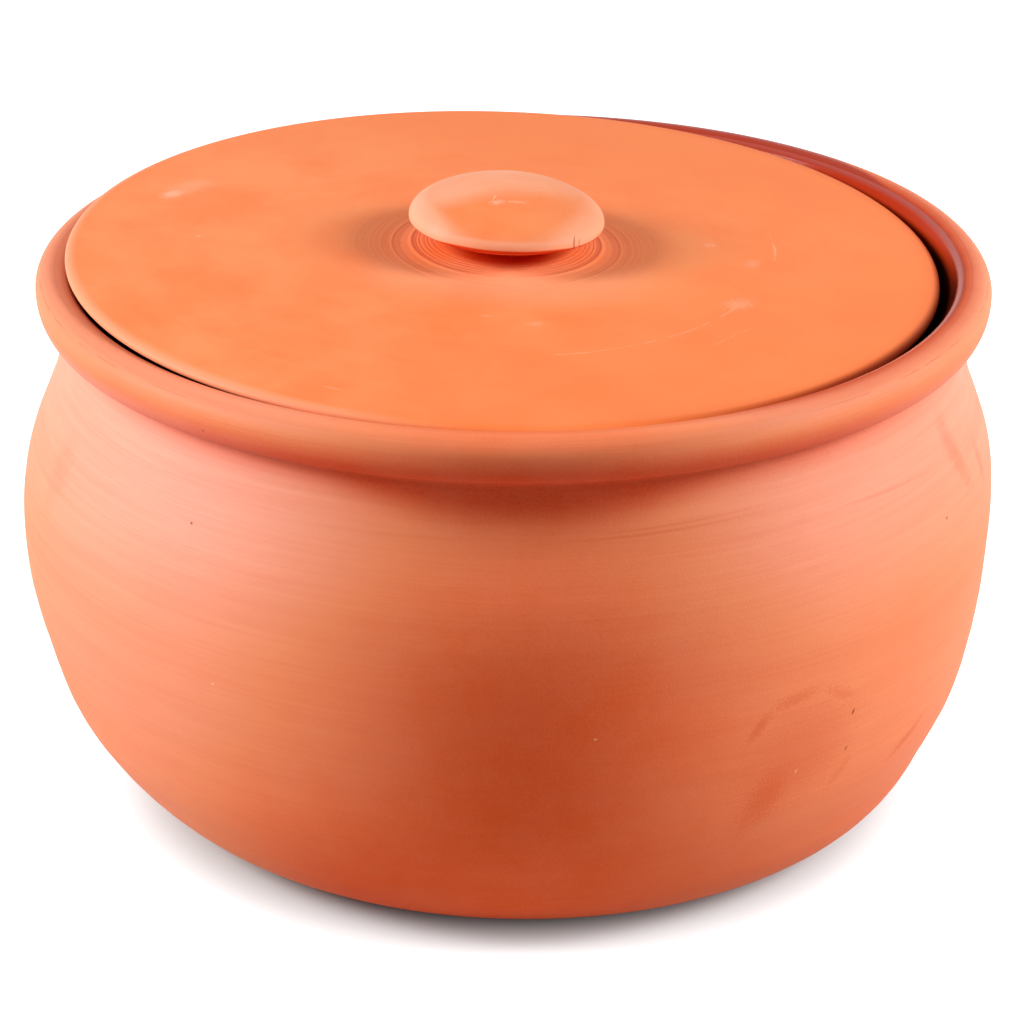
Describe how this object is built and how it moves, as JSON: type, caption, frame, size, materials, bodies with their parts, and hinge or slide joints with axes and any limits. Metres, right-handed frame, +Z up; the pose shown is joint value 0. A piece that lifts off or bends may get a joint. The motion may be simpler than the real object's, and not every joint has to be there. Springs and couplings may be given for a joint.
{
  "type": "lidded pot",
  "caption": "Round-bellied clay yogurt pot with a rolled rim, a glazed inside and a loose disc lid that lifts off by a mushroom knob.",
  "frame": {"origin": "on the ground under the middle of the pot, at the centre of its flat base", "axes": "+Z up along the pot's axis of turning, +X to the right and +Y away as the pot is seen in the picture"},
  "size_m": [0.2298, 0.2298, 0.1506],
  "materials": {
    "terracotta": "unglazed wheel-thrown terracotta, matte, with fine throwing lines",
    "brown_glaze": "transparent brown glaze over red clay, glossy",
    "lid_clay": "unglazed terracotta, turned smooth, matte, a little more orange than the pot"
  },
  "bodies": {
    "pot": {"pot_body": "terracotta", "inner_glaze": "brown_glaze"},
    "lid": {"lid_disc": "lid_clay", "lid_knob": "lid_clay"}
  },
  "joints": [
    {"name": "lid_lift", "type": "slide", "parent": "pot", "child": "lid", "axis": [0, 0, 1], "range_m": [0, 0.12]}
  ]
}
